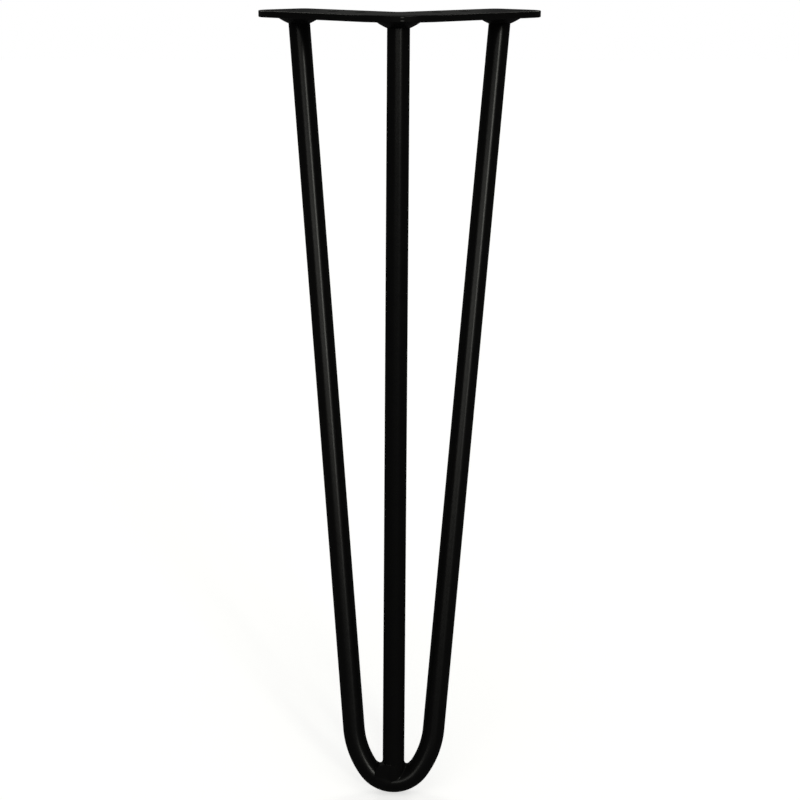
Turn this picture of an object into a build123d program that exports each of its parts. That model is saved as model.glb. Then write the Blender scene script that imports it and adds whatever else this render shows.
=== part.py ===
from build123d import *
import os
from math import acos, atan2, cos, degrees, hypot, radians, sin

# Hairpin table leg: a bent rod and a straight rod of round steel, welded under a chevron plate.
# Millimetres, +Z up. The origin is on the plate's top face, over the centre rod, where the
# centrelines of the plate's two arms cross. The chevron's apex and the foot point towards -Y.

# Overall size
leg_height = 350.0  # plate top to the lowest point of the foot
foot_reach = 42.0  # how far the foot stands in front of the centre rod's top

# Rods
rod_diameter = 10.0
outer_rod_run = 65.5  # centre rod to outer rod, along an arm's centreline
cope_depth = 2.5  # how far the centre rod's saddle comes down over the bend

# Hairpin bend, measured on the rod's centreline
tip_radius = 14.0
tip_half_angle = 53.5  # degrees from the lowest point to the start of the shoulder
shoulder_radius = 37.5

# Mounting plate
plate_thickness = 3.0
arm_width = 36.0
arm_angle = 45.0  # degrees between each arm and +Y
end_land = 6.0  # plate past the outer weld collar, at the end of an arm
apex_radius = 24.0  # front corner, where the arms' outer edges meet
notch_radius = 2.0  # back corner, where their inner edges meet
outer_corner_radius = 14.0  # on the arms' ends
inner_corner_radius = 4.0
edge_radius = 0.4  # rolled rim of the cut plate

# Screw holes, a pair on each arm, midway between its two rods
screw_hole_diameter = 5.0
screw_hole_pitch = 18.0

# Weld collars under the plate
collar_plate_leg = 5.4  # width of the bead on the plate
collar_rod_leg = 2.8  # height of the bead on the rod
collar_toe = 0.4  # thickness of the bead where it ends on the rod

# Weld nugget at the foot
nugget_side = 3.4  # its reach past the centre rod, in the plane of the hairpin
nugget_face = 0.9  # its reach past the rods, in front and behind
nugget_drop = 1.0  # its centre below the crest of the bend

# Values that follow from the sizes above
rod_radius = rod_diameter / 2
collar_radius = rod_radius + collar_plate_leg
underside = -plate_thickness
arm_x = sin(radians(arm_angle))
arm_y = cos(radians(arm_angle))
foot_tip = Vector(0, -foot_reach, rod_radius - leg_height)
centre_top = Vector(0, 0, underside)
right_top = Vector(outer_rod_run * arm_x, outer_rod_run * arm_y, underside)
left_top = Vector(-right_top.X, right_top.Y, right_top.Z)
overrun = rod_diameter  # stock past the plate before the rod's end is trimmed flush

# The hairpin lies in a plane that leans back from the foot to the ends of the arms
lean_rise = Vector(0, right_top.Y - foot_tip.Y, right_top.Z - foot_tip.Z)
lean_up = lean_rise.normalized()
lean_length = lean_rise.length
lean_plane = Plane(origin=foot_tip, x_dir=(1, 0, 0), z_dir=Vector(1, 0, 0).cross(lean_up))

# The straight leg touches the shoulder's circle and ends at the outer rod's place on the plate
shoulder_offset = shoulder_radius - tip_radius
shoulder_x = -shoulder_offset * sin(radians(tip_half_angle))
shoulder_y = tip_radius + shoulder_offset * cos(radians(tip_half_angle))
leg_run = right_top.X - shoulder_x
leg_climb = lean_length - shoulder_y
leg_angle = degrees(acos(shoulder_radius / hypot(leg_run, leg_climb)) - atan2(leg_climb, leg_run))
shoulder_angle = 90 - tip_half_angle - leg_angle

centre_axis = (centre_top - foot_tip).normalized()
centre_length = (centre_top - foot_tip).length

os.makedirs("parts", exist_ok=True)


def plate_weld(rod, top, axis):
    """Make the weld collar of one rod: a straight slope from the plate's underside to the rod."""
    sections = [(0, collar_radius), (collar_rod_leg, rod_radius + collar_toe)]
    with BuildPart() as weld:
        for depth, radius in sections:
            with BuildSketch(Plane(origin=top - axis * (depth / axis.Z))):
                Circle(radius)
        loft()
        add(rod.part, mode=Mode.SUBTRACT)
    return weld


# Mounting plate: a chevron with rounded corners, rolled rims and plain screw holes
half_mitre = arm_width / 2 / arm_x
arm_length = half_mitre * arm_y + outer_rod_run + collar_radius + end_land
hole_runs = [(outer_rod_run - screw_hole_pitch) / 2, (outer_rod_run + screw_hole_pitch) / 2]
outer_corner = (arm_length * arm_x, arm_length * arm_y - half_mitre)
inner_corner = (outer_corner[0] - arm_width * arm_y, outer_corner[1] + arm_width * arm_x)

with BuildPart() as mounting_plate:
    with BuildSketch() as chevron:
        with BuildLine():
            Polyline((0, -half_mitre), outer_corner, inner_corner, (0, half_mitre))
            mirror(about=Plane.YZ)
        make_face()
        fillet(chevron.vertices().sort_by(Axis.Y)[0], apex_radius)
        fillet(chevron.vertices().sort_by_distance((0, half_mitre))[0], notch_radius)
        fillet(chevron.vertices().group_by(Axis.Y)[-1], inner_corner_radius)
        across = chevron.vertices().sort_by(Axis.X)
        fillet([across[0], across[-1]], outer_corner_radius)
    extrude(amount=-plate_thickness)
    fillet(mounting_plate.edges().group_by(Axis.Z)[0], edge_radius)
    fillet(mounting_plate.edges().group_by(Axis.Z)[-1], edge_radius)
    with Locations([(side * run * arm_x, run * arm_y) for run in hole_runs for side in (-1, 1)]):
        Hole(screw_hole_diameter / 2)
mounting_plate.part.label = "mounting_plate"
export_step(mounting_plate.part, "parts/mounting_plate.step")

# Hairpin rod: a tight tip and wider shoulders, then two straight legs trimmed flush under the plate
with BuildPart() as hairpin_rod:
    with BuildLine(lean_plane) as hairpin_line:
        tip = JernArc((0, 0), (1, 0), tip_radius, tip_half_angle)
        shoulder = JernArc(tip @ 1, tip % 1, shoulder_radius, shoulder_angle)
        Line(shoulder @ 1, right_top + (shoulder % 1) * overrun)
        mirror(about=Plane.YZ)
    hairpin_path = hairpin_line.wires()[0]
    with BuildSketch(Plane(origin=hairpin_path @ 0, z_dir=hairpin_path % 0)):
        Circle(rod_radius)
    sweep(path=hairpin_path)
    split(bisect_by=Plane.XY.offset(underside), keep=Keep.BOTTOM)
hairpin_rod.part.label = "hairpin_rod"
export_step(hairpin_rod.part, "parts/hairpin_rod.step")

# Centre rod: straight, flush under the plate, its lower end coped to sit inside the bend
with BuildPart() as centre_rod:
    with BuildSketch(Plane(origin=foot_tip + centre_axis * (rod_radius - cope_depth), z_dir=centre_axis)):
        Circle(rod_radius)
    extrude(amount=centre_length + overrun)
    split(bisect_by=Plane.XY.offset(underside), keep=Keep.BOTTOM)
    add(hairpin_rod.part, mode=Mode.SUBTRACT)
centre_rod.part.label = "centre_rod"
export_step(centre_rod.part, "parts/centre_rod.step")

# Weld collars: one round each rod's top end
right_axis = shoulder % 1
left_axis = Vector(-right_axis.X, right_axis.Y, right_axis.Z)
collars = {
    "centre_plate_weld": plate_weld(centre_rod, centre_top, centre_axis),
    "right_plate_weld": plate_weld(hairpin_rod, right_top, right_axis),
    "left_plate_weld": plate_weld(hairpin_rod, left_top, left_axis),
}
for name, collar in collars.items():
    collar.part.label = name
    export_step(collar.part, f"parts/{name}.step")

# Foot weld: a lens-shaped nugget round the saddle, with a web in each crotch of the joint
nugget_centre = foot_tip + lean_up * (rod_radius - nugget_drop)
nugget_radius = rod_radius + nugget_side
nugget_half_depth = rod_radius + nugget_face
with BuildPart() as foot_weld:
    with BuildSketch(Plane(origin=nugget_centre, x_dir=(1, 0, 0), z_dir=lean_up)):
        with BuildLine():
            TangentArc((0, nugget_half_depth), (nugget_radius, 0), tangent=(1, 0))
            mirror(about=Plane.XZ)
            Line((0, nugget_half_depth), (0, -nugget_half_depth))
        make_face()
    revolve(axis=Axis(nugget_centre, lean_plane.z_dir))
    add(hairpin_rod.part, mode=Mode.SUBTRACT)
    add(centre_rod.part, mode=Mode.SUBTRACT)
foot_weld.part.label = "foot_weld"
export_step(foot_weld.part, "parts/foot_weld.step")
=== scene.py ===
"""Looks of a three-rod hairpin table leg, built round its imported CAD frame.

Lengths are metres in the CAD model's own frame: the origin lies on the plate's top face over the
centre rod, +Z is up, and the foot stands towards -Y. Angles in the fields are degrees.
"""

import logging
from collections.abc import Callable
from dataclasses import dataclass
from enum import Enum
from typing import Any

import bpy
import numpy as np
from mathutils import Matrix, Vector
from numpy.typing import NDArray


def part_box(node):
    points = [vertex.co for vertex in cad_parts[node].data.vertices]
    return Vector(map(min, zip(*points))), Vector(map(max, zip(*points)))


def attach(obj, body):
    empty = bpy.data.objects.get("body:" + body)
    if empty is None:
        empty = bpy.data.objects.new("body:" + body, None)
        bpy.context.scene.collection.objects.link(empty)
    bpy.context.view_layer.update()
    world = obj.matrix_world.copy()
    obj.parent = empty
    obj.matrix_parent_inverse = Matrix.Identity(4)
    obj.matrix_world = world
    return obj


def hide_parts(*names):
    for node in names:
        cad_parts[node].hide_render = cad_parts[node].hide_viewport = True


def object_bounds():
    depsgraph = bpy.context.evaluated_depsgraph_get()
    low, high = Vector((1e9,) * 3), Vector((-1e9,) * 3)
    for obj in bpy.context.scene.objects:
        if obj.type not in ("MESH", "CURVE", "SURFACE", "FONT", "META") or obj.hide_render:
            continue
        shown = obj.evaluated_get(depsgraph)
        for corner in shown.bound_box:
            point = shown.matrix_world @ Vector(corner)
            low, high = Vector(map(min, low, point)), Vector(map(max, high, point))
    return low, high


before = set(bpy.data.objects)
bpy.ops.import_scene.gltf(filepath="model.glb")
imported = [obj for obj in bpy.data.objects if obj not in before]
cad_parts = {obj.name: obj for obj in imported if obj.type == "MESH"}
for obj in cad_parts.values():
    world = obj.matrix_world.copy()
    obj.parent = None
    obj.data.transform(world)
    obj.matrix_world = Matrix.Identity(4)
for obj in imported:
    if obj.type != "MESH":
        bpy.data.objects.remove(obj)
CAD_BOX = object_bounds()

LOG = logging.getLogger("hairpin_leg")
Points = NDArray[np.float64]
Colour = tuple[float, float, float, float]
MM = 0.001
RIGHTWARD = np.array([1.0, 0.0, 0.0])
BODY = "root"
BAR_PLACE = "bar_place"
HALVINGS = 40
NOISE_MIDDLE = 0.5
# Numbers of the Mix node's colour sockets, whose names it shares with its other kinds of value
MIX_FIRST, MIX_SECOND, MIX_RESULT = 6, 7, 2


class Side(Enum):
    """Which rod a part belongs to, as the sign of its X."""

    LEFT = -1
    CENTRE = 0
    RIGHT = 1


class Pattern(Enum):
    """What a coat adds to its clouds: nothing, the bar's drawing marks or painted highlights on the
    plate's rim.
    """

    CLOUD = "cloud"
    BAR = "bar"
    RIM = "rim"


def unit(vectors: Points) -> Points:
    """Vectors scaled to length one along their last axis."""
    return vectors / np.linalg.norm(vectors, axis=-1, keepdims=True)


def turned(count: int) -> Points:
    """Angles in radians of so many even steps round a circle."""
    return np.linspace(0, 2 * np.pi, count, endpoint=False)


def hump(angle: Points, centre: float, spread: float) -> Points:
    """A soft hump on a circle: the bell curve of the turn between angle and centre.

    Args:
        angle: Angles in radians.
        centre: Angle of the hump's top, in degrees.
        spread: Turn in degrees at which the bell has fallen to 1/e.

    Returns:
        Values from 0 to 1, one for each angle.
    """
    turn = np.angle(np.exp(1j * (angle - np.radians(centre))))
    return np.exp(-((turn / np.radians(spread)) ** 2))


def melted(first: Points, second: Points, width: float) -> Points:
    """Gap to two solids that melt into each other.

    It is the smaller of the two gaps, less the square of what is left of the width after their
    difference, over four widths.

    Args:
        first: Gaps to one solid, less than zero inside it.
        second: Gaps to the other solid.
        width: Difference of the gaps up to which the solids melt together.

    Returns:
        The gaps to the joined solid.
    """
    left = np.maximum(width - np.abs(first - second), 0.0)
    return np.minimum(first, second) - left**2 / (4 * width)


def leaving(gap: Callable[[Points], Points], most: Points) -> Points:
    """Lengths at which straight runs that start inside a solid leave it, found by halving.

    Args:
        gap: Gives the gap to the solid at a length along each run.
        most: The greatest length of each run, which is returned where the run never leaves.

    Returns:
        One length for each run.
    """
    low, high = np.zeros_like(most), most
    for _ in range(HALVINGS):
        middle = (low + high) / 2
        inside = gap(middle) < 0
        low, high = np.where(inside, middle, low), np.where(inside, high, middle)
    return low


def bar_places(radius: float, angle: Points, run: Points) -> Points:
    """Places on the straightened bar, for the marks that follow it: its section's circle and the run.

    Args:
        radius: Radius of the bar.
        angle: Angles in radians round the bar, one for each column.
        run: Lengths along the bar, a row of columns for each step.

    Returns:
        One place for each length: two steps in the section, then the length itself.
    """
    section = radius * np.stack([np.cos(angle), np.sin(angle)], axis=-1)
    return np.concatenate([np.broadcast_to(section, (*run.shape, 2)), run[..., None]], axis=-1)


@dataclass
class Surface:
    """A grid of points that closes round its columns, and round its rows or with two end caps."""

    points: Points
    closed_rows: bool = False
    bar_place: Points | None = None

    def quads(self) -> NDArray[np.int64]:
        """Corner numbers of the grid's faces: each point with its neighbours in row and column.

        Returns:
            One row of four corner numbers for each face.
        """
        rows, columns = self.points.shape[:2]
        first_rows = np.arange(rows if self.closed_rows else rows - 1)
        row, column = np.meshgrid(first_rows, np.arange(columns), indexing="ij")
        next_row = (row + 1) % rows
        next_column = (column + 1) % columns
        corners = [
            row * columns + column,
            row * columns + next_column,
            next_row * columns + next_column,
            next_row * columns + column,
        ]
        return np.stack(corners, axis=-1).reshape(-1, 4)

    def caps(self) -> tuple[Points, NDArray[np.int64]]:
        """End caps of an open tube: a fan from the middle of the first row and of the last.

        Returns:
            The two middle points, and one row of three corner numbers for each fan blade.
        """
        rows, columns = self.points.shape[:2]
        middles = self.points[[0, -1]].mean(axis=1)
        here = np.arange(columns)
        after = (here + 1) % columns
        first = np.stack([np.full(columns, rows * columns), after, here], axis=-1)
        start = (rows - 1) * columns
        last = np.stack([np.full(columns, rows * columns + 1), start + here, start + after], axis=-1)
        return middles, np.concatenate([first, last])

    def mesh(self, name: str, sharp_angle: float) -> bpy.types.Mesh:
        """Puts the grid into a mesh with smooth faces.

        Args:
            name: Name of the mesh.
            sharp_angle: Edges that fold by more than these degrees stay crisp.

        Returns:
            The new mesh.
        """
        places = self.points.reshape(-1, 3)
        quads = self.quads()
        loops = quads.ravel()
        starts = np.arange(len(quads)) * 4
        if not self.closed_rows:
            middles, blades = self.caps()
            places = np.concatenate([places, middles])
            starts = np.concatenate([starts, len(loops) + np.arange(len(blades)) * 3])
            loops = np.concatenate([loops, blades.ravel()])
        mesh = bpy.data.meshes.new(name)
        mesh.vertices.add(len(places))
        mesh.vertices.foreach_set("co", places.astype(np.float32).ravel())
        mesh.loops.add(len(loops))
        mesh.loops.foreach_set("vertex_index", loops.astype(np.int32))
        mesh.polygons.add(len(starts))
        mesh.polygons.foreach_set("loop_start", starts.astype(np.int32))
        mesh.polygons.foreach_set("use_smooth", np.ones(len(starts), bool))
        mesh.update(calc_edges=True)
        mesh.set_sharp_from_angle(angle=np.radians(sharp_angle))
        if self.bar_place is not None:
            along = np.zeros((len(places), 3), np.float32)
            along[: self.bar_place.size // 3] = self.bar_place.reshape(-1, 3)
            layer = mesh.attributes.new(BAR_PLACE, "FLOAT_VECTOR", "POINT")
            layer.data.foreach_set("vector", along.ravel())
        return mesh


class Signal:
    """A shader value that takes part in Python arithmetic; each operation adds a Math node."""

    def __init__(self, sheet: "ShaderSheet", socket: bpy.types.NodeSocket) -> None:
        """Keeps the sheet to draw on and the socket that gives the value."""
        self.sheet = sheet
        self.socket = socket

    def maths(self, operation: str, first: Any, second: Any) -> "Signal":
        """The Math node of that operation on two values or signals."""
        return self.sheet.node("ShaderNodeMath", {"operation": operation}, {0: first, 1: second})

    def __add__(self, other: Any) -> "Signal":
        """This value plus the other."""
        return self.maths("ADD", self, other)

    __radd__ = __add__

    def __sub__(self, other: Any) -> "Signal":
        """This value less the other."""
        return self.maths("SUBTRACT", self, other)

    def __rsub__(self, other: Any) -> "Signal":
        """The other value less this one."""
        return self.maths("SUBTRACT", other, self)

    def __mul__(self, other: Any) -> "Signal":
        """This value times the other."""
        return self.maths("MULTIPLY", self, other)

    __rmul__ = __mul__

    def at_least(self, floor: Any) -> "Signal":
        """The larger of this value and the other."""
        return self.maths("MAXIMUM", self, floor)

    def below(self, limit: Any) -> "Signal":
        """One where this value is less than the other, else zero."""
        return self.maths("LESS_THAN", self, limit)


class ShaderSheet:
    """A node tree that is filled from an empty sheet."""

    def __init__(self, tree: bpy.types.NodeTree) -> None:
        """Takes the tree and clears it."""
        self.tree = tree
        tree.nodes.clear()

    def node(
        self,
        kind: str,
        settings: dict[str, Any] | None = None,
        inputs: dict[str | int, Any] | None = None,
        output: str | int = 0,
    ) -> Signal:
        """Adds one node, sets it, then feeds its sockets.

        Args:
            kind: Blender's type name of the node.
            settings: Properties that are set before any socket is touched.
            inputs: Socket names or numbers, each with a value or a signal.
            output: Name or number of the output that is returned.

        Returns:
            The chosen output, or the first input of a node that has no output.
        """
        made = self.tree.nodes.new(kind)
        for name, value in (settings or {}).items():
            setattr(made, name, value)
        for name, value in (inputs or {}).items():
            if isinstance(value, Signal):
                self.tree.links.new(value.socket, made.inputs[name])
            else:
                made.inputs[name].default_value = value
        return Signal(self, made.outputs[output] if made.outputs else made.inputs[0])

    def noise(self, place: Signal, size: float, detail: float, rough: float = 0.5) -> Signal:
        """Cloudy noise from 0 to 1 whose blots are about one size across.

        Args:
            place: The coordinates that it follows.
            size: Width of a blot in metres.
            detail: Octaves of finer noise on top.
            rough: Strength of each finer octave.

        Returns:
            The noise value.
        """
        inputs = {"Vector": place, "Scale": 1 / size, "Detail": detail, "Roughness": rough}
        return self.node("ShaderNodeTexNoise", {}, inputs)

    def mixed(self, share: Signal, first: Any, second: Any) -> Signal:
        """The first colour where the share is 0, the second where it is 1."""
        inputs = {"Factor": share, MIX_FIRST: first, MIX_SECOND: second}
        return self.node("ShaderNodeMix", {"data_type": "RGBA"}, inputs, MIX_RESULT)


@dataclass(frozen=True)
class PowderCoat:
    """Satin black powder coat: a dark skin with wide flow marks, fine peel and a few dust nibs."""

    name: str
    pattern: Pattern = Pattern.CLOUD
    tone: Colour = (0.0030, 0.0030, 0.0032, 1.0)
    pale_tone: Colour = (0.0052, 0.0051, 0.0049, 1.0)
    tone_size: float = 9 * MM
    roughness: float = 0.25
    roughness_swing: float = 0.08
    roughness_size: float = 2.2 * MM
    specular: float = 0.20
    peel_size: float = 0.85 * MM
    peel_height: float = 0.005 * MM
    flow_size: float = 3.2 * MM
    flow_height: float = 0.015 * MM
    nib_spacing: float = 11 * MM
    nib_radius: float = 0.45 * MM
    nib_height: float = 0.03 * MM
    draw_size: float = 1.4 * MM
    draw_stretch: float = 0.03
    draw_height: float = 0.006 * MM
    # Colour and place of the painted highlights on the plate's rim: glints painted into the coat's
    # colour, one on each ridge of the cut
    glint_tone: Colour = (0.10, 0.10, 0.097, 1.0)
    glint_depths: tuple[float, float] = (0.8 * MM, 2.2 * MM)
    glint_half_height: float = 0.25 * MM
    glint_across: float = 1.7 * MM
    glint_half_width: float = 0.9 * MM

    def nibs(self, sheet: ShaderSheet, place: Signal) -> Signal:
        """Dust nibs: on each scattered point a small dome, the square of the share of its radius left.

        Args:
            sheet: The node tree to draw on.
            place: Object coordinates.

        Returns:
            Their height.
        """
        cells = {"Vector": place, "Scale": 1 / self.nib_spacing}
        away = sheet.node("ShaderNodeTexVoronoi", {}, cells, "Distance")
        dome = (1 - away * (self.nib_spacing / self.nib_radius)).at_least(0.0)
        return dome * dome * self.nib_height

    def draw_marks(self, sheet: ShaderSheet) -> Signal:
        """Drawing marks of the bar under the coat: noise that is stretched along the bar.

        Args:
            sheet: The node tree to draw on.

        Returns:
            Their height.
        """
        bar = sheet.node("ShaderNodeAttribute", {"attribute_name": BAR_PLACE}, output="Vector")
        stretch = {"Vector": bar, "Scale": (1.0, 1.0, self.draw_stretch)}
        drawn = sheet.node("ShaderNodeMapping", {}, stretch)
        return sheet.noise(drawn, self.draw_size, detail=1.0) * self.draw_height

    def painted_glints(self, sheet: ShaderSheet, place: Signal) -> Signal:
        """Painted highlights on the front of the plate's rim: glints painted into the colour, one on
        each ridge of the cut.

        A mark is the product of two humps, each one less the square of the way off the mark's middle:
        one hump by depth, the other by the step across.

        Args:
            sheet: The node tree to draw on.
            place: Object coordinates.

        Returns:
            How strong the painted highlight is, from 0 to 1.
        """
        across, along, level = (
            sheet.node("ShaderNodeSeparateXYZ", {}, {"Vector": place}, axis) for axis in "XYZ"
        )
        upper, lower = ((level + depth) * (1 / self.glint_half_height) for depth in self.glint_depths)
        ridges = (1 - upper * upper).at_least(0.0) + (1 - lower * lower).at_least(0.0)
        way = (across - self.glint_across) * (1 / self.glint_half_width)
        return ridges * (1 - way * way).at_least(0.0) * along.below(0.0)

    def material(self) -> bpy.types.Material:
        """Draws the coat's nodes.

        The height is the sum of a wide flow noise, a fine peel noise, the nibs and the bar's drawing
        marks. Tone and roughness drift between two values on noises of their own; on the rim, painted
        highlights are mixed into the colour.

        Returns:
            The new material.
        """
        made = bpy.data.materials.new(self.name)
        made.use_nodes = True
        sheet = ShaderSheet(made.node_tree)
        place = sheet.node("ShaderNodeTexCoord", output="Object")
        flow = sheet.noise(place, self.flow_size, detail=1.0) * self.flow_height
        peel = sheet.noise(place, self.peel_size, detail=2.0) * self.peel_height
        height = flow + peel + self.nibs(sheet, place)
        if self.pattern is Pattern.BAR:
            height = height + self.draw_marks(sheet)
        relief = {"Height": height, "Distance": 1.0, "Strength": 1.0}
        drift = sheet.noise(place, self.roughness_size, detail=3.0)
        cloud = sheet.noise(place, self.tone_size, detail=4.0, rough=0.6)
        colour = sheet.mixed(cloud, self.tone, self.pale_tone)
        if self.pattern is Pattern.RIM:
            # Painted highlights: pale glints mixed into the colour on the ridges of the rim's cut
            colour = sheet.mixed(self.painted_glints(sheet, place), colour, self.glint_tone)
        skin = {
            "Base Color": colour,
            "Roughness": (drift - NOISE_MIDDLE) * self.roughness_swing + self.roughness,
            "Specular IOR Level": self.specular,
            "Normal": sheet.node("ShaderNodeBump", {}, relief),
        }
        shader = sheet.node("ShaderNodeBsdfPrincipled", {}, skin)
        sheet.node("ShaderNodeOutputMaterial", {}, {"Surface": shader})
        return made


@dataclass(frozen=True)
class LegFrame:
    """Sizes and places that the leg's pieces share, read from the frame's nodes."""

    rod_radius: float
    underside: float
    right_top: Points
    foot_tip: Points
    collar_radius: float
    collar_depth: float
    tip_radius: float = 14.0 * MM
    tip_half_angle: float = 53.5
    shoulder_radius: float = 37.5 * MM
    centre_end: float = 4.0 * MM

    @classmethod
    def read(cls) -> "LegFrame":
        """Measures the frame: the rod on the centre rod, the bead on the right collar.

        Returns:
            The leg's sizes and places.
        """
        plate_low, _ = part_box("mounting_plate")
        rod_low, rod_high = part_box("centre_rod")
        bend_low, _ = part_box("hairpin_rod")
        bead_low, bead_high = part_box("right_plate_weld")
        radius = (rod_high.x - rod_low.x) / 2
        middle = (bead_low + bead_high) / 2
        return cls(
            rod_radius=radius,
            underside=plate_low.z,
            right_top=np.array([middle.x, middle.y, plate_low.z]),
            foot_tip=np.array([0.0, bend_low.y + radius, bend_low.z + radius]),
            collar_radius=(bead_high.x - bead_low.x) / 2,
            collar_depth=plate_low.z - bead_low.z,
        )

    @property
    def lean_up(self) -> Points:
        """Direction up the plane in which the hairpin lies."""
        return unit((self.right_top - self.foot_tip) * np.array([0.0, 1.0, 1.0]))

    @property
    def lean_front(self) -> Points:
        """Direction out of the hairpin's plane, towards the front."""
        return np.cross(RIGHTWARD, self.lean_up)

    @property
    def centre_axis(self) -> Points:
        """Direction up the centre rod."""
        return unit(np.array([0.0, 0.0, self.underside]) - self.foot_tip)

    @property
    def centre_front(self) -> Points:
        """Direction square to the centre rod, towards the front."""
        return np.cross(RIGHTWARD, self.centre_axis)

    @property
    def tip_turn(self) -> float:
        """Turn in radians from the foot's lowest point to the end of the tip."""
        return float(np.radians(self.tip_half_angle))

    @property
    def end_turn(self) -> float:
        """Turn in radians from the foot's lowest point to the straight leg.

        The straight leg touches the shoulder's circle and passes through the rod's place on the plate.

        Returns:
            The turn of the tip and one shoulder together.
        """
        step = self.shoulder_radius - self.tip_radius
        run = self.right_top[0] + step * np.sin(self.tip_turn)
        lean_length = float(np.dot(self.right_top - self.foot_tip, self.lean_up))
        climb = lean_length - self.tip_radius - step * np.cos(self.tip_turn)
        slant = np.arccos(self.shoulder_radius / np.hypot(run, climb))
        return float(np.pi / 2 - slant + np.arctan2(climb, run))

    def leg_axis(self, side: Side) -> Points:
        """Direction up one of the hairpin's straight legs."""
        return side.value * np.cos(self.end_turn) * RIGHTWARD + np.sin(self.end_turn) * self.lean_up

    def at_foot(self, across: Points, up: Points, out: Points) -> Points:
        """Points at the foot, from steps across, up the hairpin's plane and out of it to the front."""
        steps = across[..., None] * RIGHTWARD + up[..., None] * self.lean_up
        return self.foot_tip + steps + out[..., None] * self.lean_front

    def bend_gap(self, across: Points, up: Points, out: Points) -> Points:
        """How far points at the foot lie outside the bend; less than zero is inside the rod.

        In the hairpin's plane the tip's centreline is a circle, so the distance to it is the
        hypotenuse of the gap to that circle and the step out of the plane.

        Args:
            across: Steps to the right of the foot's middle.
            up: Steps up the hairpin's plane.
            out: Steps out of that plane, to the front.

        Returns:
            One signed distance for each point.
        """
        ring = np.hypot(across, up - self.tip_radius) - self.tip_radius
        return np.hypot(ring, out) - self.rod_radius

    def centre_gap(self, across: Points, up: Points, out: Points) -> Points:
        """How far points at the foot lie outside the centre rod, which ends in a ball over the foot.

        Args:
            across: Steps to the right of the foot's middle.
            up: Steps up the hairpin's plane.
            out: Steps out of that plane, to the front.

        Returns:
            One signed distance for each point.
        """
        rise = float(self.centre_axis @ self.lean_up)
        lead = float(self.centre_axis @ self.lean_front)
        run = np.maximum(up * rise + out * lead, self.centre_end)
        return np.sqrt(across**2 + (up - run * rise) ** 2 + (out - run * lead) ** 2) - self.rod_radius


@dataclass
class Piece:
    """A sub-assembly of the leg: its shape, what it stands for and its coat."""

    leg: LegFrame
    coat: bpy.types.Material
    name: str = "piece"
    node: str = "node"
    sharp_angle: float = 50.0

    def surface(self) -> Surface:
        """The piece's shape as a grid of points."""
        raise NotImplementedError

    def build(self) -> bpy.types.Object:
        """Makes the piece, coats it and lets it stand for its CAD node.

        Returns:
            The finished object.
        """
        made = bpy.data.objects.new(self.name, self.surface().mesh(self.name, self.sharp_angle))
        bpy.context.scene.collection.objects.link(made)
        made.data.materials.append(self.coat)
        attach(made, BODY)
        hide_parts(self.node)
        LOG.info("%s: %d faces, stands for %s", made.name, len(made.data.polygons), self.node)
        return made


@dataclass
class HairpinRod(Piece):
    """The bent rod: a tight tip, two wider shoulders and two straight legs cut flush at the plate."""

    name: str = "hairpin_rod_coated"
    node: str = "hairpin_rod"
    round_steps: int = 72
    bend_steps: int = 220
    leg_steps: int = 90

    def centreline(self, run: Points) -> tuple[Points, Points]:
        """Places and turns along the bend, for runs measured from the lowest point, right positive.

        Up to the end of the tip the centreline is a circle that rests on the lowest point. Past it
        the centreline is the shoulder's larger circle, which shares the tip's tangent there.

        Args:
            run: Signed lengths along the bent part of the centreline.

        Returns:
            Points in the hairpin's plane (across, up), and the turn in radians at each of them.
        """
        leg = self.leg
        past = np.maximum(np.abs(run) - leg.tip_radius * leg.tip_turn, 0.0)
        turn = np.minimum(np.abs(run) / leg.tip_radius, leg.tip_turn) + past / leg.shoulder_radius
        radius = np.where(past > 0, leg.shoulder_radius, leg.tip_radius)
        step = radius - leg.tip_radius
        across = radius * np.sin(turn) - step * np.sin(leg.tip_turn)
        up = leg.tip_radius - radius * np.cos(turn) + step * np.cos(leg.tip_turn)
        return np.stack([np.sign(run) * across, up], axis=-1), np.sign(run) * turn

    def surface(self) -> Surface:
        """A circle carried along the centreline, with straight ends that reach the plate's underside.

        Returns:
            Rows along the rod from its left end to its right, each a turn round it.
        """
        leg = self.leg
        bend_run = leg.tip_radius * leg.tip_turn + leg.shoulder_radius * (leg.end_turn - leg.tip_turn)
        straight = np.linspace(1.0, 0.0, self.leg_steps, endpoint=False)
        share = np.concatenate([straight, np.zeros(self.bend_steps), straight[::-1]])[:, None]
        bend = np.linspace(-bend_run, bend_run, self.bend_steps)
        run = np.pad(bend, self.leg_steps, mode="edge")
        flat, turn = self.centreline(run)
        core = leg.at_foot(flat[:, 0], flat[:, 1], np.zeros_like(run))
        along = np.cos(turn)[:, None] * RIGHTWARD + np.sin(turn)[:, None] * leg.lean_up
        inward = np.cos(turn)[:, None] * leg.lean_up - np.sin(turn)[:, None] * RIGHTWARD
        angle = -turned(self.round_steps)  # turned backwards, so that the faces look outwards
        cosine, sine = np.cos(angle)[:, None], np.sin(angle)[:, None]
        ring = cosine * inward[:, None] - sine * leg.lean_front
        points = core[:, None] + leg.rod_radius * ring
        length = share * (leg.underside - points[..., 2]) / np.where(share > 0, along[:, 2:], 1.0)
        points = points + length[..., None] * along[:, None]
        return Surface(points, bar_place=bar_places(leg.rod_radius, angle, run[:, None] + length))


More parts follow.
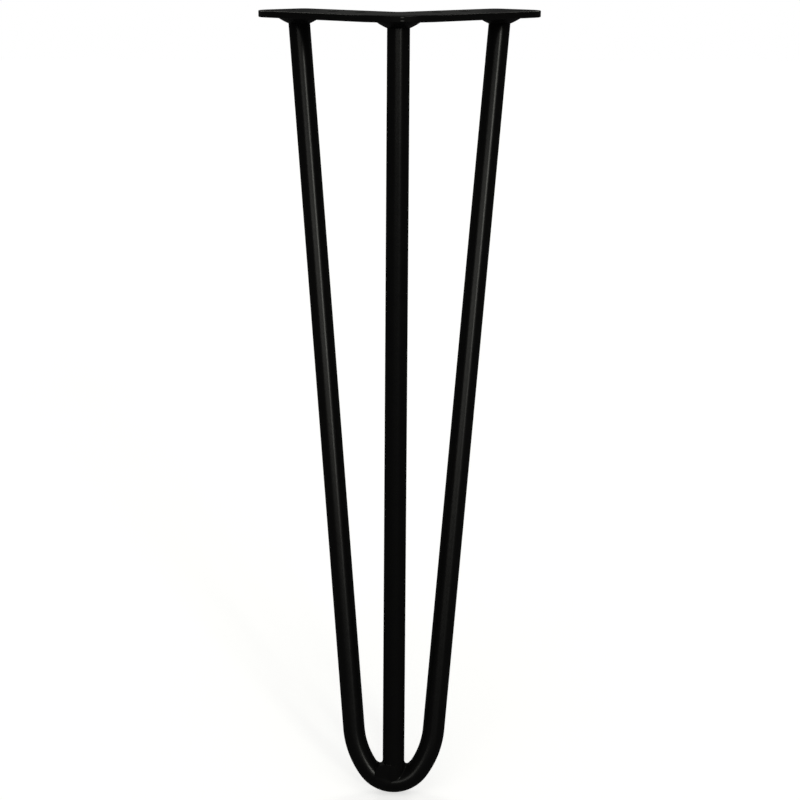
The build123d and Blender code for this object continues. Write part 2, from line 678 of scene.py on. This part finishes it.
@dataclass
class CentreRod(Piece):
    """The straight rod: cut flush at the plate, its lower end coped to the bend."""

    name: str = "centre_rod_coated"
    node: str = "centre_rod"
    round_steps: int = 72
    length_steps: int = 120
    most_run: float = 14.0 * MM

    def saddle(self, ring: Points) -> Points:
        """Heights up the rod's axis at which its straight generators leave the bend.

        None is lower than the end of the rod, which the weld covers.

        Args:
            ring: Directions from the rod's axis to its generators.

        Returns:
            One height for each generator, from the level of the foot's centreline.
        """
        leg = self.leg

        def gap(run: Points) -> Points:
            """Gap to the bend at a height up each generator."""
            away = leg.rod_radius * ring + run[:, None] * leg.centre_axis
            return leg.bend_gap(away[:, 0], away @ leg.lean_up, away @ leg.lean_front)

        return np.maximum(leaving(gap, np.full(len(ring), self.most_run)), leg.centre_end)

    def surface(self) -> Surface:
        """Straight generators from the saddle on the bend to the plate's underside, round a circle.

        Returns:
            Rows down the rod from the plate to the saddle, each a turn round it.
        """
        leg = self.leg
        angle = turned(self.round_steps)
        ring = np.cos(angle)[:, None] * RIGHTWARD + np.sin(angle)[:, None] * leg.centre_front
        foot = leg.foot_tip + leg.rod_radius * ring + self.saddle(ring)[:, None] * leg.centre_axis
        length = (leg.underside - foot[:, 2]) / leg.centre_axis[2]
        run = np.linspace(1, 0, self.length_steps)[:, None] * length
        points = foot + run[..., None] * leg.centre_axis
        return Surface(points, bar_place=bar_places(leg.rod_radius, angle, run))


@dataclass
class PlateWeld(Piece):
    """A weld collar round one rod's top: a sloped bead with faint ripples and a lap at its close."""

    side: Side = Side.CENTRE
    round_steps: int = 240
    skin_steps: int = 22
    toe: float = 0.35 * MM
    bite: float = 0.15 * MM
    crown: float = 0.12 * MM
    ripples: int = 38
    ripple_height: float = 0.022 * MM
    ripple_slant: float = 4.0
    wander: float = 0.12 * MM
    lap_angle: float = 75.0
    lap_step: float = 30.0
    lap_spread: float = 16.0
    lap_height: float = 0.15 * MM

    def surface(self) -> Surface:
        """A strip that slopes from the plate to the rod, carried round the rod and closed inside it.

        Two and three waves to the turn make its upper edge wander. Square to the slope, a sine arch
        lifts its middle by the crown, the slanted ripples and, at one place, the lap.

        Returns:
            Rows round the rod, each a closed turn of the strip and its inner side.
        """
        leg, sign = self.leg, self.side.value
        axis = leg.centre_axis if self.side is Side.CENTRE else leg.leg_axis(self.side)
        top = leg.right_top * np.array([sign, abs(sign), 1.0])
        angle = turned(self.round_steps)[:, None]
        share = np.linspace(0, 1, self.skin_steps)[None]
        waves = np.sin(2 * angle + sign) + np.sin(3 * angle - sign)
        reach = leg.collar_radius - self.wander + self.wander * waves / 2
        slope = reach - leg.rod_radius - self.toe
        ripple = self.ripple_height * np.sin(self.ripples * angle + self.ripple_slant * share**2)
        lap = self.lap_height * hump(angle, self.lap_angle + sign * self.lap_step, self.lap_spread)
        lift = np.sin(np.pi * share) * (self.crown + ripple + lap) / np.hypot(slope, leg.collar_depth)
        radius = reach - slope * share + lift * leg.collar_depth
        depth = leg.collar_depth * share + lift * slope
        inner = np.full_like(angle, leg.rod_radius - self.bite)
        above = np.full_like(angle, -self.bite)
        radius = np.concatenate([radius, inner, inner, reach], axis=1)
        depth = np.concatenate([depth, np.full_like(angle, leg.collar_depth), above, above], axis=1)
        spoke = np.concatenate([np.cos(angle), np.sin(angle), np.zeros_like(angle)], axis=1)
        points = top - depth[..., None] * axis / axis[2] + radius[..., None] * spoke[:, None]
        return Surface(points, closed_rows=True)


@dataclass
class FootWeld(Piece):
    """The weld at the foot: a fine seam, a thin web in each crotch and a flat fill in front."""

    name: str = "foot_weld_coated"
    node: str = "foot_weld"
    round_steps: int = 336
    ring_steps: int = 96
    first_ring: float = 0.03
    middle_up: float = 3.0 * MM
    reach: float = 10.4 * MM
    thickest: float = 9.0 * MM
    seam_blend: float = 0.4 * MM
    web_blend: float = 1.6 * MM
    fill_blend: float = 0.5 * MM
    sink: float = 0.03 * MM
    web_up: float = 4.35 * MM
    web_tilt: float = 0.02
    web_half_height: float = 4.4 * MM
    web_half_depth: float = 2.2 * MM
    fill_middle: tuple[float, float] = (-3.6 * MM, 3.9 * MM)
    fill_half: tuple[float, float] = (4.8 * MM, 4.9 * MM)
    fill_corner: float = 3.5 * MM
    fill_inset: float = 0.2 * MM
    fill_edge: float = 0.1 * MM
    cut_place: tuple[float, float] = (-2.4 * MM, -0.1 * MM)
    cut_turn: float = 33.0

    @property
    def slant(self) -> float:
        """Step out of the hairpin's plane for each step up it, along the centre rod."""
        axis = self.leg.centre_axis
        return float(axis @ self.leg.lean_front) / float(axis @ self.leg.lean_up)

    def web_gap(self, across: Points, up: Points, out: Points) -> Points:
        """Gap to the web: a bar across the crotches whose section is a lens between two arcs.

        Args:
            across: Steps to the right of the foot's middle.
            up: Steps up the hairpin's plane.
            out: Steps out of that plane, to the front.

        Returns:
            One signed distance for each point.
        """
        arc = (self.web_half_height**2 + self.web_half_depth**2) / (2 * self.web_half_depth)
        away = up - self.web_up + self.web_tilt * across
        deep = np.abs(out - self.slant * up / 2) + arc - self.web_half_depth
        return np.hypot(away, deep) - arc

    def fill_gap(self, across: Points, up: Points, out: Points) -> Points:
        """Gap to the fill: a pad with round corners, cut on a slant at its lower right.

        Its flat front is parallel to the centre rod.

        Args:
            across: Steps to the right of the foot's middle.
            up: Steps up the hairpin's plane.
            out: Steps out of that plane, to the front.

        Returns:
            One signed distance for each point, softened where the front meets the side.
        """
        front = out - self.leg.rod_radius + self.fill_inset - self.slant * up
        past_side = np.abs(across - self.fill_middle[0]) - self.fill_half[0] + self.fill_corner
        past_end = np.abs(up - self.fill_middle[1]) - self.fill_half[1] + self.fill_corner
        outside = np.hypot(np.maximum(past_side, 0.0), np.maximum(past_end, 0.0))
        side = outside + np.minimum(np.maximum(past_side, past_end), 0.0) - self.fill_corner
        turn = np.radians(self.cut_turn)
        cut = np.sin(turn) * (across - self.cut_place[0]) - np.cos(turn) * (up - self.cut_place[1])
        edge = np.maximum(np.maximum(side, cut), -out)
        return -melted(-front, -edge, self.fill_edge)

    def gap(self, across: Points, up: Points, out: Points) -> Points:
        """Gap to the whole weld: the rods, the web and the fill melted together.

        Args:
            across: Steps to the right of the foot's middle.
            up: Steps up the hairpin's plane.
            out: Steps out of that plane, to the front.

        Returns:
            One signed distance for each point.
        """
        place = across, up, out
        rods = melted(self.leg.centre_gap(*place), self.leg.bend_gap(*place), self.seam_blend)
        webbed = melted(rods, self.web_gap(*place), self.web_blend)
        return melted(webbed, self.fill_gap(*place), self.fill_blend) + self.sink

    def surface(self) -> Surface:
        """A cushion round the joint: rings from the middle of its front to its rim and on to its back.

        The rim is where a ray in the plane midway between the rods leaves the weld. Each ring is a
        share of the way to the rim, and the weld's gap is zero at its height in front and behind.

        Returns:
            Rings from the middle of the back to the middle of the front.
        """
        leg, lean = self.leg, self.slant / 2
        angle = turned(self.round_steps)

        def on_ray(run: Points) -> Points:
            """Gap to the weld at a length along each ray."""
            up = self.middle_up + run * np.sin(angle)
            return self.gap(run * np.cos(angle), up, lean * up)

        rim = leaving(on_ray, np.full(self.round_steps, self.reach))
        share = np.sin(np.linspace(self.first_ring, 1, self.ring_steps) * np.pi / 2)[:, None]
        across = share * rim * np.cos(angle)
        up = self.middle_up + share * rim * np.sin(angle)
        most = np.full_like(up, self.thickest)
        front = leaving(lambda lift: self.gap(across, up, lean * up + lift), most)
        back = leaving(lambda lift: self.gap(across, up, lean * up - lift), most)
        front[-1] = 0.0
        rings = [
            leg.at_foot(across, up, lean * up + front),
            leg.at_foot(across[-2::-1], up[-2::-1], (lean * up - back)[-2::-1]),
        ]
        return Surface(np.concatenate(rings)[::-1])


@dataclass
class MountingPlate:
    """The chevron plate, which keeps its CAD shape and gets a coat."""

    coat: bpy.types.Material
    node: str = "mounting_plate"

    def dress(self) -> bpy.types.Object:
        """Coats the plate.

        Returns:
            The plate's object.
        """
        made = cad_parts[self.node]
        made.data.materials.clear()
        made.data.materials.append(self.coat)
        LOG.info("%s: kept from the frame", made.name)
        return made


@dataclass(frozen=True)
class SoftBox:
    """A rectangular studio lamp that faces the leg; its angles are those that the leg sees."""

    name: str
    azimuth: float
    elevation: float
    wide: float
    high: float
    radiance: float
    distance: float = 20.0
    colour: tuple[float, float, float] = (1.0, 1.0, 0.92)
    aim: tuple[float, float, float] = (0.0, 0.0, -0.17)

    def light(self) -> bpy.types.Object:
        """Hangs the lamp; azimuth 0 is the front and 90 the right.

        Returns:
            The lamp's object.
        """
        turn, rise = np.radians([self.azimuth, self.elevation])
        away = Vector((np.sin(turn) * np.cos(rise), -np.cos(turn) * np.cos(rise), np.sin(rise)))
        width, height = 2 * self.distance * np.tan(np.radians([self.wide, self.high]) / 2)
        lamp = bpy.data.lights.new(self.name, "AREA")
        lamp.shape = "RECTANGLE"
        lamp.size = width
        lamp.size_y = height
        lamp.energy = self.radiance * np.pi * width * height
        lamp.color = self.colour
        made = bpy.data.objects.new(self.name, lamp)
        made.location = Vector(self.aim) + away * self.distance
        made.rotation_euler = away.to_track_quat("Z", "Y").to_euler()
        made.visible_camera = False
        bpy.context.scene.collection.objects.link(made)
        LOG.info("lamp %s", self.name)
        return made


@dataclass
class Studio:
    """A pale paper floor, a white surround and soft lamps."""

    floor_level: float
    floor_half: float = 5.0
    paper: Colour = (0.8, 0.8, 0.8, 1.0)
    white: Colour = (1.0, 1.0, 1.0, 1.0)
    paper_glow: float = 0.6
    surround_glow: float = 1.0
    gloss_level: float = 0.034
    ambient: float = 0.24
    lamps: tuple[SoftBox, ...] = (
        SoftBox("key_strip", azimuth=23.5, elevation=20.6, wide=7.5, high=15.0, radiance=15.0),
        SoftBox("front_box", azimuth=-8.5, elevation=18.2, wide=37.0, high=11.0, radiance=2.35),
        SoftBox("back_left_box", azimuth=218.0, elevation=30.0, wide=16.0, high=24.0, radiance=4.0),
        SoftBox("back_right_box", azimuth=142.0, elevation=30.0, wide=16.0, high=24.0, radiance=4.0),
        SoftBox("top_box", azimuth=0.0, elevation=80.0, wide=26.0, high=26.0, radiance=1.0),
        SoftBox("horizon_strip", azimuth=180.3, elevation=6.0, wide=5.8, high=12.0, radiance=0.038),
    )

    def white_level(self, sheet: ShaderSheet, glow: float) -> Signal:
        """White for the camera and through glass, and dim in gloss.

        Args:
            sheet: The node tree to draw on.
            glow: Strength that the camera sees.

        Returns:
            The strength for the kind of ray.
        """
        seen = sheet.node("ShaderNodeLightPath", output="Is Camera Ray")
        through = sheet.node("ShaderNodeLightPath", output="Is Transmission Ray")
        gloss = sheet.node("ShaderNodeLightPath", output="Is Glossy Ray")
        return (seen + through) * glow + gloss * self.gloss_level

    def floor(self) -> bpy.types.Object:
        """Lays the paper under the foot: a flat sheet whose shade still takes the lamps' shadow.

        Returns:
            The floor's object.
        """
        side = np.array([-1.0, 1.0]) * self.floor_half
        across, along = np.meshgrid(side, side)
        level = np.full_like(across, self.floor_level)
        corners = np.stack([across, along, level], axis=-1).reshape(-1, 3)
        mesh = bpy.data.meshes.new("floor")
        mesh.from_pydata(corners.tolist(), [], [(0, 1, 3, 2)])
        made = bpy.data.objects.new("floor", mesh)
        bpy.context.scene.collection.objects.link(made)
        material = bpy.data.materials.new("pale_paper")
        material.use_nodes = True
        sheet = ShaderSheet(material.node_tree)
        shade = sheet.node("ShaderNodeBsdfDiffuse", {}, {"Color": self.paper})
        strength = self.white_level(sheet, self.paper_glow)
        glow = sheet.node("ShaderNodeEmission", {}, {"Strength": strength})
        both = sheet.node("ShaderNodeAddShader", {}, {0: shade, 1: glow})
        gloss = sheet.node("ShaderNodeLightPath", output="Is Glossy Ray")
        paper = sheet.node("ShaderNodeMixShader", {}, {0: gloss, 1: both, 2: glow})
        sheet.node("ShaderNodeOutputMaterial", {}, {"Surface": paper})
        mesh.materials.append(material)
        return made

    def surround(self) -> None:
        """Sets the world: white to the camera, dim in gloss, an even ambient elsewhere."""
        world = bpy.data.worlds.new("surround")
        bpy.context.scene.world = world
        world.use_nodes = True
        sheet = ShaderSheet(world.node_tree)
        soft = sheet.node("ShaderNodeLightPath", output="Is Diffuse Ray")
        level = self.white_level(sheet, self.surround_glow) + soft * self.ambient
        air = sheet.node("ShaderNodeBackground", {}, {"Color": self.white, "Strength": level})
        sheet.node("ShaderNodeOutputWorld", {}, {"Surface": air})

    def build(self) -> None:
        """Lays the floor, sets the surround and hangs the lamps."""
        self.floor()
        self.surround()
        for lamp in self.lamps:
            lamp.light()


@dataclass(frozen=True)
class PhotoCamera:
    """The camera at the photograph's place; pixel values are of its square picture."""

    place: tuple[float, float, float] = (4.707 * MM, -727.964 * MM, 28.135 * MM)
    pitch_down: float = 15.461
    turn_left: float = 1.698
    picture_px: float = 800.0
    focal_px: float = 1639.2
    axis_px: float = 359.63
    sensor_mm: float = 36.0

    def build(self) -> bpy.types.Object:
        """Sets up the camera and makes it the scene's own.

        Returns:
            The camera's object.
        """
        pitch, turn = np.radians([self.pitch_down, -self.turn_left])
        ahead = Vector((np.sin(turn) * np.cos(pitch), np.cos(turn) * np.cos(pitch), -np.sin(pitch)))
        lens = bpy.data.cameras.new("photo_camera")
        lens.sensor_width = self.sensor_mm
        lens.lens = self.sensor_mm * self.focal_px / self.picture_px
        lens.shift_x = (self.picture_px / 2 - self.axis_px) / self.picture_px
        made = bpy.data.objects.new("photo_camera", lens)
        made.location = self.place
        made.rotation_euler = ahead.to_track_quat("-Z", "Y").to_euler()
        bpy.context.scene.collection.objects.link(made)
        bpy.context.scene.camera = made
        return made


def main() -> None:
    """Builds the leg's pieces, then the studio and the camera."""
    logging.basicConfig(level=logging.INFO, format="%(name)s: %(message)s")
    bpy.context.scene.view_settings.view_transform = "Standard"
    leg = LegFrame.read()
    bar_coat = PowderCoat("bar_coat", Pattern.BAR).material()
    centre_coat = PowderCoat("centre_coat", Pattern.BAR, specular=0.15).material()
    weld_coat = PowderCoat("weld_coat").material()
    plate_coat = PowderCoat("plate_coat", Pattern.RIM).material()
    HairpinRod(leg, bar_coat).build()
    CentreRod(leg, centre_coat).build()
    for side in Side:
        node = f"{side.name.lower()}_plate_weld"
        PlateWeld(leg, weld_coat, f"{node}_coated", node, side=side).build()
    FootWeld(leg, weld_coat).build()
    MountingPlate(plate_coat).dress()
    Studio(floor_level=CAD_BOX[0].z).build()
    PhotoCamera().build()


if __name__ == "__main__":
    main()
